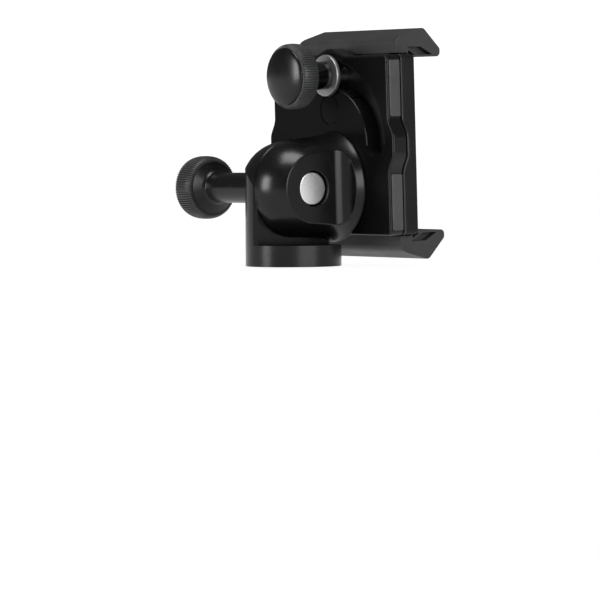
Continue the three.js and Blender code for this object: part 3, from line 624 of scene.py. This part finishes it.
def plate_outline(y, hump):
    """Points round the plate's edge, anticlockwise seen from the back."""
    half_w, half_h = CLAMP_W / 2, CLAMP_H / 2
    points = []

    def corner(x, z, start):
        for i in range(9):
            angle = math.radians(start + i * 11.25)
            points.append((x + CORNER_R * math.cos(angle), z + CORNER_R * math.sin(angle)))

    def side(sign):
        for i in range(41):
            height = sign * BULGE_END * (i / 20 - 1)
            points.append((sign * (half_w + swell(height)), height))

    corner(half_w - CORNER_R, CORNER_R - half_h, -90)
    side(1)
    corner(half_w - CORNER_R, half_h - CORNER_R, 0)
    if hump:
        lift = SLOT_R + HUMP_R - half_h
        for i in range(41):
            x = HUMP_HALF_W * (1 - i / 20)
            points.append((x, half_h + lift * math.cos(x / HUMP_HALF_W * math.pi / 2) ** 2))
    corner(CORNER_R - half_w, half_h - CORNER_R, 90)
    side(-1)
    corner(CORNER_R - half_w, CORNER_R - half_h, 180)
    return [(x, y, z + CLAMP_Z) for x, z in points]


def slot_outline(y, grow=0.0):
    """A quarter ring from the top to the right, with round ends."""
    half = SLOT_W / 2 + grow
    points = []
    for i in range(49):
        angle = i / 48 * math.pi / 2
        points.append(((SLOT_R + half) * math.sin(angle), (SLOT_R + half) * math.cos(angle)))
    for i in range(1, 24):
        angle = i / 24 * math.pi
        points.append((SLOT_R + half * math.cos(angle), -half * math.sin(angle)))
    for i in range(48, -1, -1):
        angle = i / 48 * math.pi / 2
        points.append(((SLOT_R - half) * math.sin(angle), (SLOT_R - half) * math.cos(angle)))
    for i in range(1, 24):
        angle = i / 24 * math.pi
        points.append((-half * math.sin(angle), SLOT_R - half * math.cos(angle)))
    return [(x, y, z + CLAMP_Z) for x, z in points]


def at_back(edge, y):
    return all(abs(v.co.y - y) < 0.01 * MM for v in edge.verts)


plate = bar("back_plate", plate_outline(PLATE_Y, True), (0, PLATE_T, 0))
bevel(plate, lambda e: at_back(e, PLATE_Y), 0.7 * MM)
bevel(plate, lambda e: at_back(e, PLATE_FRONT), 0.25 * MM, 2)
cut(plate, bar("slot", slot_outline(PLATE_Y - MM), (0, PLATE_T + 2 * MM, 0)))


def slot_quarter(tool):
    """The part of a ring tool that lies over the slot."""
    return combine(tool, box("quarter", (0, 0, CLAMP_Z), (40 * MM, 40 * MM, CLAMP_Z + 40 * MM)), "INTERSECT")


outer_r = SLOT_R + SLOT_W / 2
wide_bevel = turned("wide_bevel", Y_AXIS, [
    (PLATE_Y - 0.2 * MM, outer_r - 0.6 * MM), (PLATE_Y - 0.2 * MM, outer_r + 1.55 * MM),
    (PLATE_Y + 0.15 * MM, outer_r + 1.25 * MM), (PLATE_Y + 1.7 * MM, outer_r - 0.15 * MM),
    (PLATE_Y + 1.7 * MM, outer_r - 0.6 * MM), (PLATE_Y - 0.2 * MM, outer_r - 0.6 * MM)], CENTRE, 192)
cut(plate, slot_quarter(wide_bevel))
inner_r = SLOT_R - SLOT_W / 2
fine_bevel = turned("fine_bevel", Y_AXIS, [
    (PLATE_Y - 0.1 * MM, inner_r - 0.5 * MM), (PLATE_Y - 0.1 * MM, inner_r + MM),
    (PLATE_Y + 0.5 * MM, inner_r + MM),
    (PLATE_Y + 0.5 * MM, inner_r - 0.01 * MM), (PLATE_Y + 0.3 * MM, inner_r - 0.05 * MM),
    (PLATE_Y + 0.15 * MM, inner_r - 0.14 * MM), (PLATE_Y + 0.06 * MM, inner_r - 0.27 * MM),
    (PLATE_Y - 0.1 * MM, inner_r - 0.5 * MM)], CENTRE, 192)
cut(plate, slot_quarter(fine_bevel))
cut(plate, rod("plug_seat", Y_AXIS, PLATE_Y - MM, PLATE_Y + 1.5 * MM, PLUG_HOLE_R, PLUG))
cut(plate, rod("pivot_hole", Y_AXIS, PLATE_Y + MM, PLATE_FRONT + MM, PIVOT_R + RUN, CENTRE))
cut(plate, rod("pivot_flange_seat", Y_AXIS, PLATE_Y + MM, PLATE_Y + 2.9 * MM, PIVOT_FLANGE_R, CENTRE))
cut(plate, rod("pivot_tool_hole", Y_AXIS, PLATE_Y - MM, PLATE_Y + 1.3 * MM, PIVOT_TOOL_R, CENTRE, 64))
for x, z in HUB_SCREWS:
    spot = Vector((x, 0, z))
    cut(plate, rod("screw_hole", Y_AXIS, PLATE_Y - MM, PLATE_FRONT + MM, HUB_SCREW_R, spot, 48))
    cut(plate, rod("screw_head_seat", Y_AXIS, PLATE_FRONT - 1.9 * MM, PLATE_FRONT + MM,
                   HUB_SCREW_HEAD_R, spot, 48))
smooth(plate, 28)
lean(plate)
matt_black = anodised("matt_black_anodised", 0.002, 0.0, 0.33, 0.06)
hand_over(plate, satin_black, "plate_black", "hub", "back_plate")
plate.data.materials.append(matt_black)
pick(plate, "FACE", lambda f: f.normal.y < -0.98)
plate.active_material_index = 1
bpy.ops.object.material_slot_assign()
bpy.ops.object.mode_set(mode="OBJECT")
plug = turned("plate_plug", Y_AXIS, [
    (PLATE_Y + 0.06 * MM, 0), (PLATE_Y + 0.06 * MM, PLUG_R - 0.28 * MM),
    (PLATE_Y + 0.2 * MM, PLUG_R - 0.04 * MM), (PLATE_Y + 1.3 * MM, PLUG_R), (PLATE_Y + 1.3 * MM, 0)], PLUG)
smooth(plug)
lean(plug)
hand_over(plug, matt_black, "plate_black", "hub", "plate_plug")

# ---- Side panels ----
# Four satin inlays pressed on the sides of the back plate, above and below the swollen part,
# each with rounded corners and a fine bevel that catches the light.
PANEL_T = 0.5 * MM
PANEL_LOW = BULGE_END + 0.2 * MM
PANEL_HIGH = CLAMP_H / 2 - 1.7 * MM
satin_panel = anodised("satin_panel", 0.03, 0.0, 0.33, 0.6)
for side, sign in (("left", -1), ("right", 1)):
    for level, lift in (("upper", 1), ("lower", -1)):
        near = sign * (CLAMP_W / 2 + 0.02 * MM)
        far = near + sign * PANEL_T
        ends = sorted((lift * PANEL_LOW, lift * PANEL_HIGH))
        panel = box("side_panel", (min(near, far), PLATE_Y + 0.85 * MM, CLAMP_Z + ends[0]),
                    (max(near, far), PLATE_FRONT - 0.25 * MM, CLAMP_Z + ends[1]))
        bevel(panel, lambda e: abs(e.verts[0].co.x - e.verts[1].co.x) > 0.3 * MM, 0.55 * MM, 5)
        bevel(panel, lambda e: all(abs(v.co.x - far) < 0.01 * MM for v in e.verts), 0.18 * MM)
        smooth(panel, 28)
        lean(panel)
        hand_over(panel, satin_panel, "panel_satin", "hub", f"side_panel_{side}_{level}")

# ---- Backing plate ----
# A thin sheet-metal plate behind the clamp body, cut to the back plate's outline without the hump;
# it turns with the clamp and carries the lock stud.
RIM_Y = PLATE_FRONT + 0.65 * MM
RIM_T = 0.83 * MM
BODY_Y = RIM_Y + 0.85 * MM
STUD_R = 2.9 * MM
backing = bar("backing_plate", plate_outline(RIM_Y, False), (0, RIM_T, 0))
bevel(backing, lambda e: at_back(e, RIM_Y) or at_back(e, RIM_Y + RIM_T), 0.2 * MM, 2)
cut(backing, rod("pivot_hole", Y_AXIS, 0, 40 * MM, PIVOT_SCREW_R, CENTRE, 48))
cut(backing, rod("stud_hole", Y_AXIS, 0, 40 * MM, STUD_R + RUN, LOCK, 64))
smooth(backing, 28)
lean(backing)
sheet_black = anodised("sheet_black", 0.012, 0.0, 0.3, 0.4)
hand_over(backing, sheet_black, "black_metal", "clamp", "clamp_backing_plate")

# ---- Clamp body ----
# A moulded tray of fine-grained black plastic. Two channels, open at the top and the bottom, guide
# the jaws' slides; the pinion turns on a boss between them.
BODY_T = 4.8 * MM
FACE_Y = BODY_Y + BODY_T
CHANNEL_Y = FACE_Y - 1.3 * MM
PINION_R = 6 * MM
SLIDE_X = PINION_R + 0.95 * MM
SLIDE_W = 13 * MM
BOSS_R = 2.5 * MM
PAD_W, PAD_H = 41 * MM, 49 * MM


def rounded_block(name, size, y0, y1, radius, edge):
    """A block about the clamp's centre with round corners and bevelled faces."""
    wide, high = size
    block = box(name, (-wide / 2, y0, CLAMP_Z - high / 2), (wide / 2, y1, CLAMP_Z + high / 2))
    bevel(block, lambda e: abs(e.verts[0].co.y - e.verts[1].co.y) > 0.9 * (y1 - y0), radius, 8)
    return bevel(block, lambda e: at_back(e, y0) or at_back(e, y1), edge)


clamp = rounded_block("clamp_body", (CLAMP_W, CLAMP_H), BODY_Y, FACE_Y, CORNER_R, 0.35 * MM)
for sign in (-1, 1):
    inside, outside = SLIDE_X - 1.35 * MM, SLIDE_X + SLIDE_W + GAP
    ends = sorted((sign * inside, sign * outside))
    cut(clamp, box("channel", (ends[0], BODY_Y - MM, CLAMP_Z - CLAMP_H),
                   (ends[1], CHANNEL_Y, CLAMP_Z + CLAMP_H)))
cut(clamp, rod("pinion_room", Y_AXIS, BODY_Y - MM, CHANNEL_Y, PINION_R + 1.5 * MM, CENTRE))
boss = turned("pinion_boss", Y_AXIS, [
    (BODY_Y, PIVOT_SCREW_R), (BODY_Y, BOSS_R), (CHANNEL_Y + 0.2 * MM, BOSS_R),
    (CHANNEL_Y + 0.2 * MM, PIVOT_SCREW_R), (BODY_Y, PIVOT_SCREW_R)], CENTRE, 48)
combine(clamp, boss, "UNION")
cut(clamp, rod("screw_hole", Y_AXIS, CHANNEL_Y - 0.5 * MM, FACE_Y - 0.5 * MM, PIVOT_SCREW_R, CENTRE, 48))
cut(clamp, rod("stud_seat", Y_AXIS, BODY_Y - MM, CHANNEL_Y, STUD_R + RUN, LOCK, 64))
cut(clamp, rounded_block("pad_seat", (PAD_W, PAD_H), FACE_Y - 0.6 * MM, FACE_Y + MM, 3 * MM, 0.05 * MM))
smooth(clamp, 28)
lean(clamp)


def moulded(name, level, rough, grains, depth, strength=1.0, gloss=0.3):
    """Plastic or rubber with a spark-eroded grain."""
    paint = Paint(name, Metallic=0.0, Specular_IOR_Level=gloss)
    grain = paint.cells(grains)
    fine = paint.noise(grains * 2.2, 3)
    cloud = paint.noise(0.1, 4)
    shade = cloud.within(0.3, 0.7) * 0.5 + fine.within(0.3, 0.7) * 0.5
    paint.feed("Base Color", paint.blend(shade, grey(level * 0.85, 1.01), grey(level * 1.2, 1.01)))
    paint.feed("Roughness", cloud.within(0.2, 0.8, rough - 0.05, rough + 0.05) + fine * 0.08)
    paint.bump(grain + fine, depth * MM, strength)
    return paint.material


moulded_black = moulded("moulded_black_plastic", 0.006, 0.42, 3.2, 0.03, 0.5, 0.15)
hand_over(clamp, moulded_black, "plastic_black", "clamp", "clamp_body")

# ---- Face pad ----
# A rubber sheet let into the clamp's face so that the phone's back does not touch metal,
# moulded with shallow grooves across it.
GROOVE_L = 34 * MM
GROOVE_STEP = 4.6 * MM
GROOVES_EACH_WAY = 4


def twin(obj):
    """A second piece of the same shape, with a mesh of its own."""
    let_go()
    other = obj.copy()
    other.data = obj.data.copy()
    bpy.context.collection.objects.link(other)
    hold(other)
    return other


pad = rounded_block("face_pad", (PAD_W - 2 * GAP, PAD_H - 2 * GAP), FACE_Y - 0.55 * MM, FACE_Y + 0.5 * MM,
                    2.7 * MM, 0.2 * MM)
groove = bar("groove", [
    (-GROOVE_L / 2, FACE_Y + 0.12 * MM, CLAMP_Z - 0.4 * MM), (-GROOVE_L / 2, FACE_Y + MM, CLAMP_Z - 0.7 * MM),
    (-GROOVE_L / 2, FACE_Y + MM, CLAMP_Z + 0.7 * MM),
    (-GROOVE_L / 2, FACE_Y + 0.12 * MM, CLAMP_Z + 0.4 * MM)], (GROOVE_L, 0, 0))
for i in range(-GROOVES_EACH_WAY, GROOVES_EACH_WAY + 1):
    one = twin(groove)
    bpy.ops.transform.translate(value=(0, 0, i * GROOVE_STEP))
    bpy.ops.object.transform_apply(location=True, rotation=True, scale=True)
    cut(pad, one)
bpy.data.objects.remove(groove)
smooth(pad, 28)
lean(pad)
pad_rubber = moulded("pad_rubber", 0.015, 0.62, 2.4, 0.03)
hand_over(pad, pad_rubber, "rubber_black", "clamp", "face_pad")

# ---- Jaws ----
# Each jaw is a roof-shaped bar of grained rubber moulded over a folded steel arm. Both ends are open
# cells with a slanting rib between them; the phone's edge rests on the flat inner side.
JAW_L = 51 * MM
JAW_Z = 28 * MM
JAW_TIP = FACE_Y + 14.6 * MM
SLIDE_Y = BODY_Y + 1.6 * MM
SLIDE_T = 1.6 * MM
SHELF_Z = JAW_Z + 3 * MM
SHELF_T = 1.4 * MM
SHELF_HALF = JAW_L / 2 - 3.5 * MM
CELL_DEPTH = 2.4 * MM
jaw_back = SLIDE_Y - 0.6 * MM
jaw_low = CLAMP_H / 2 + 0.55 * MM
jaw_outline = [
    (jaw_back, jaw_low), (FACE_Y + 0.8 * MM, jaw_low), (FACE_Y + 0.8 * MM, JAW_Z),
    (JAW_TIP - 1.2 * MM, JAW_Z), (JAW_TIP - 0.3 * MM, JAW_Z + 0.7 * MM), (JAW_TIP, JAW_Z + 2.6 * MM),
    (FACE_Y + 8.2 * MM, JAW_Z + 9.1 * MM), (FACE_Y + 7.2 * MM, JAW_Z + 9.35 * MM),
    (jaw_back + 2.2 * MM, JAW_Z + 6.8 * MM),
    (jaw_back + 0.7 * MM, JAW_Z + 6 * MM), (jaw_back + 0.1 * MM, JAW_Z + 4.9 * MM)]
# outlines of the two open cells, in millimetres forward of the clamp's face and outward of the phone's edge
CELLS = [
    [(1.2, 0.7), (4.1, 0.7), (1.2, 2.3)],
    [(5.3, 0.7), (11.3, 0.7), (6.5, 3.3), (0.9, 3.3), (0.9, 3.1)]]
jaw = bar("jaw_pad", [(-JAW_L / 2, y, z + CLAMP_Z) for y, z in jaw_outline], (JAW_L, 0, 0))
bevel(jaw, lambda e: e.is_manifold and abs(e.verts[0].co.x - e.verts[1].co.x) > 0.9 * JAW_L
      and (mid(e).z - CLAMP_Z > JAW_Z + 4 * MM or mid(e).y > JAW_TIP - 2 * MM), 0.4 * MM, 4)
bevel(jaw, lambda e: e.is_manifold and e.calc_face_angle(0) > math.radians(60)
      and all(abs(abs(v.co.x) - JAW_L / 2) < 0.01 * MM for v in e.verts)
      and mid(e).z - CLAMP_Z > jaw_low + 0.3 * MM, 0.3 * MM)
clear = 0.12 * MM
cut(jaw, box("arm_slot", (-SHELF_HALF - clear, SLIDE_Y - clear, CLAMP_Z + jaw_low - MM),
             (SHELF_HALF + clear, SLIDE_Y + SLIDE_T + clear, CLAMP_Z + SHELF_Z + SHELF_T + clear)))
cut(jaw, box("shelf_slot", (-SHELF_HALF - clear, SLIDE_Y + 0.2 * MM, CLAMP_Z + SHELF_Z - clear),
             (SHELF_HALF + clear, JAW_TIP - 5 * MM + clear, CLAMP_Z + SHELF_Z + SHELF_T + clear)))
for cell in CELLS:
    for start in (-JAW_L / 2 - MM, JAW_L / 2 - CELL_DEPTH):
        hollow = bar("cell", [(start, FACE_Y + y * MM, CLAMP_Z + JAW_Z + z * MM) for y, z in cell],
                     (CELL_DEPTH + MM, 0, 0))
        cut(jaw, bevel(hollow, lambda e: abs(e.verts[0].co.x - e.verts[1].co.x) > CELL_DEPTH, 0.08 * MM, 2))
smooth(jaw, 28)
low_jaw = twin(jaw)
half_turn = Matrix.Rotation(math.pi, 4, "Y")
low_jaw.matrix_world = Matrix.Translation(CENTRE) @ half_turn @ Matrix.Translation(-CENTRE)
bpy.ops.object.transform_apply(location=True, rotation=True, scale=True)
jaw_rubber = moulded("jaw_rubber", 0.022, 0.5, 3.0, 0.045, 0.8, 0.35)
for obj, level in ((jaw, "upper"), (low_jaw, "lower")):
    lean(obj)
    hand_over(obj, jaw_rubber, "rubber_black", f"{level}_jaw", f"{level}_jaw_pad")

# ---- Lock washer ----
# A thick turned steel washer under the lock knob, bridging the slot.
WASHER_R = 6.75 * MM
WASHER_T = 1.6 * MM
washer_y = PLATE_Y - GAP - WASHER_T
lock_washer = turned("lock_washer", Y_AXIS, [
    (washer_y, STUD_R + RUN), (washer_y, WASHER_R - 0.35 * MM), (washer_y + 0.12 * MM, WASHER_R - 0.1 * MM),
    (washer_y + 0.35 * MM, WASHER_R), (washer_y + WASHER_T - 0.25 * MM, WASHER_R),
    (washer_y + WASHER_T, WASHER_R - 0.2 * MM), (washer_y + WASHER_T, STUD_R + RUN),
    (washer_y, STUD_R + RUN)], LOCK, 128)
smooth(lock_washer, 40)
lean(lock_washer)
leaned_lock = TILT + Matrix.Rotation(LEAN, 3, "X") @ LOCK
washer_steel = brushed_rings("washer_steel", 0.42, Y_AXIS, leaned_lock, 0.46, 3.6, 0.006)
hand_over(lock_washer, washer_steel, "steel_turned", "lock_washer", "lock_washer")

# ---- Lock stud ----
# A steel stud fixed in the clamp; it passes through the slot and the washer into the knob.
LOCK_SHANK_L = 9.4 * MM
LOCK_KNOB_T = 6.4 * MM
LOCK_KNOB_R = 10.6 * MM
CORE_R = 6.6 * MM
shank_y = washer_y - 0.15 * MM
lock_rim_y = shank_y - LOCK_SHANK_L
lock_rim_y0 = lock_rim_y - LOCK_KNOB_T
stud = turned("lock_stud", Y_AXIS, [
    (lock_rim_y - 2 * MM, 0), (lock_rim_y - 2 * MM, STUD_R - 0.5 * MM), (lock_rim_y - 1.5 * MM, STUD_R),
    (FACE_Y - 1.7 * MM, STUD_R), (FACE_Y - 1.5 * MM, STUD_R - 0.2 * MM), (FACE_Y - 1.5 * MM, 0)], LOCK, 64)
smooth(stud, 40)
lean(stud)
stud_steel = brushed_rings("stud_steel", 0.4, Y_AXIS, leaned_lock, 0.3)
hand_over(stud, stud_steel, "steel_turned", "clamp", "lock_stud")

# ---- Lock knob ----
# A dark chromed shank, a knurled aluminium rim with crowned outside, and a domed cap that closes the
# knob; a fine groove runs between the cap's edge and the rim.
LOCK_SHANK_R = 4.6 * MM
shank = turned("lock_shank", Y_AXIS, [
    (lock_rim_y - 2.4 * MM, STUD_R + RUN), (shank_y, STUD_R + RUN), (shank_y, LOCK_SHANK_R - 0.25 * MM),
    (shank_y - 0.25 * MM, LOCK_SHANK_R), (lock_rim_y + 0.6 * MM, LOCK_SHANK_R),
    (lock_rim_y + 0.2 * MM, LOCK_SHANK_R + 0.3 * MM), (lock_rim_y + 0.15 * MM, LOCK_KNOB_R - 2.2 * MM),
    (lock_rim_y + 0.02 * MM, CORE_R), (lock_rim_y0 + 2.6 * MM, CORE_R), (lock_rim_y0 + 2.6 * MM, 0),
    (lock_rim_y - 2.4 * MM, 0), (lock_rim_y - 2.4 * MM, STUD_R + RUN)], LOCK, 128)
smooth(shank, 40)
lean(shank)
dark_chrome = brushed_rings("dark_chrome", 0.11, Y_AXIS, leaned_lock, 0.16, 3.0, 0.004)
hand_over(shank, dark_chrome, "black_metal", "lock_knob", "lock_knob_shank")
lock_rim = knurled("lock_rim", Y_AXIS, lock_rim_y0, lock_rim_y, LOCK_KNOB_R, CORE_R + 0.1 * MM, LOCK)
lean(lock_rim)
# The lock rim shares the tilt rim's lightened black, a painted highlight on its teeth.
hand_over(lock_rim, knurl_highlight_black, "black_metal", "lock_knob", "lock_knob_rim")
lock_cap = turned("lock_cap", Y_AXIS, [
    (lock_rim_y0 - 2.15 * MM, 0), (lock_rim_y0 - 2.1 * MM, 1.5 * MM), (lock_rim_y0 - 2.0 * MM, 3.2 * MM),
    (lock_rim_y0 - 1.8 * MM, 5 * MM), (lock_rim_y0 - 1.45 * MM, 6.8 * MM), (lock_rim_y0 - 1.0 * MM, 8.2 * MM),
    (lock_rim_y0 - 0.7 * MM, 8.9 * MM), (lock_rim_y0 - 0.5 * MM, 9.2 * MM),
    (lock_rim_y0 - 0.3 * MM, 9.3 * MM), (lock_rim_y0 - 0.15 * MM, 9.2 * MM),
    (lock_rim_y0 - 0.15 * MM, CORE_R - 0.3 * MM),
    (lock_rim_y0 + 2.4 * MM, CORE_R - 0.3 * MM), (lock_rim_y0 + 2.4 * MM, 0)], LOCK, 128)
smooth(lock_cap, 40)
lean(lock_cap)
hand_over(lock_cap, satin_black, "black_metal", "lock_knob", "lock_knob_cap")

# ---- Inside pieces ----
# What the plates hide keeps its working shape: a fibre washer and a friction ring, the pivot's bush and
# screws in steel, the brass pinion, and the folded steel arms that carry the rubber jaws.
INSIDE = {
    moulded("fibre_washer", 0.06, 0.7, 1.6, 0.03): ("friction_washer", "turn_friction_ring"),
    brushed_rings("bush_steel", 0.45, Y_AXIS, TILT + Matrix.Rotation(LEAN, 3, "X") @ CENTRE, 0.3):
        ("turn_pivot_bush", "turn_pivot_screw", "hub_screw_lower", "hub_screw_upper"),
    anodised("pinion_brass", 0.4, 1.0, 0.3): ("jaw_pinion",),
    anodised("arm_steel", 0.06, 0.8, 0.35): ("upper_jaw_arm", "lower_jaw_arm"),
}
for material, names in INSIDE.items():
    for name in names:
        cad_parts[name].material_slots[0].material = material
